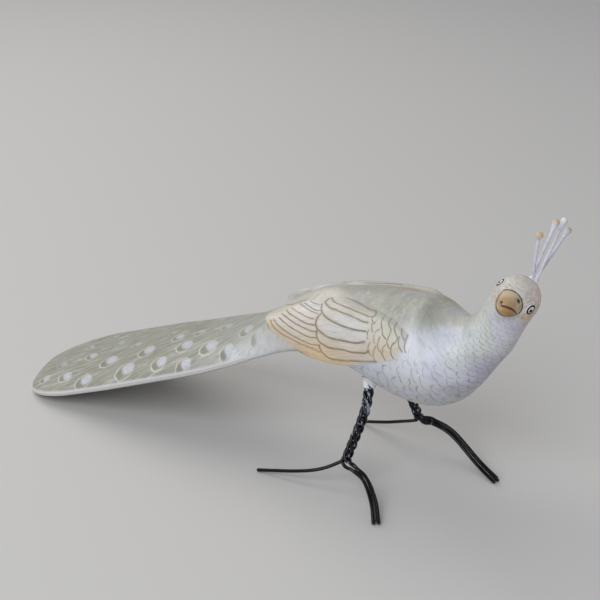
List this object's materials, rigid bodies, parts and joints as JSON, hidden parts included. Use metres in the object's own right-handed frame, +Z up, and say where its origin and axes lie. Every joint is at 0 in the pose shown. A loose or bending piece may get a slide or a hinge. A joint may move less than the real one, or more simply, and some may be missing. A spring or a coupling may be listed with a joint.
{
  "type": "ceramic peacock figurine",
  "caption": "Small painted clay peacock standing on twisted wire legs with its long tail resting behind, head turned to one side under a fan of beaded wire plumes.",
  "frame": {"origin": "on the table, under the middle of the figure's plan", "axes": "+X towards the breast and head, -X towards the tail tip, +Y to the bird's left, +Z up"},
  "size_m": [0.2954, 0.0808, 0.1476],
  "materials": {
    "painted_clay": "satin paint over fired clay",
    "black_wire": "glossy black enamel",
    "plume_paint": "satin white",
    "bead_paint": "satin tan"
  },
  "bodies": {
    "root": {"body": "painted_clay", "leg_left_wire_1": "black_wire", "leg_left_wire_2": "black_wire", "leg_left_wire_3": "black_wire", "leg_left_wire_4": "black_wire", "leg_right_wire_1": "black_wire", "leg_right_wire_2": "black_wire", "leg_right_wire_3": "black_wire", "leg_right_wire_4": "black_wire", "crest_plume_1": "plume_paint", "crest_plume_2": "plume_paint", "crest_plume_3": "plume_paint", "crest_plume_4": "plume_paint", "crest_bead_1": "bead_paint", "crest_bead_2": "bead_paint", "crest_bead_3": "bead_paint", "crest_bead_4": "bead_paint"}
  },
  "joints": []
}
